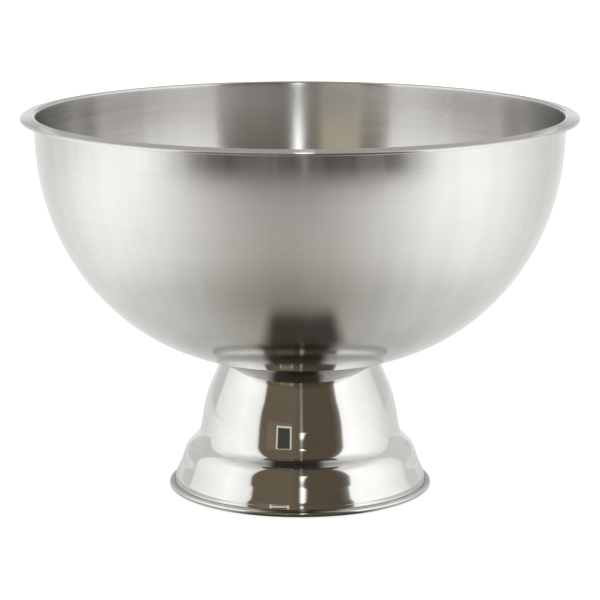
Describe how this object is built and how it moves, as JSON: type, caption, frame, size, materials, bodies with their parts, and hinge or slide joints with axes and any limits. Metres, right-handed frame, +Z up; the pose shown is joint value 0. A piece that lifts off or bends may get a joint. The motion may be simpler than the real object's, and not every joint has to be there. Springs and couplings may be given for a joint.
{
  "type": "punch bowl",
  "caption": "Large round stainless steel punch bowl with an out-turned lip, bolted on a bell-shaped polished pedestal foot with a rolled edge.",
  "frame": {"origin": "centre of the base, on the surface that the foot's rolled edge stands on", "axes": "+Z up along the bowl's axis; the bowl is round, so X and Y are any two square directions"},
  "size_m": [0.4, 0.4, 0.2739],
  "materials": {
    "satin_steel": "stainless steel, brushed round the bowl to a soft satin",
    "polished_steel": "stainless steel, mirror polished",
    "black_rubber": "matt black rubber",
    "plated_steel": "bright zinc-plated steel"
  },
  "bodies": {
    "root": {"bowl": "satin_steel", "foot": "polished_steel", "seat_washer": "black_rubber", "spreader_plate": "plated_steel", "flat_washer": "plated_steel", "spring_washer": "plated_steel", "hex_nut": "plated_steel", "weld_stud": "plated_steel"}
  },
  "joints": []
}
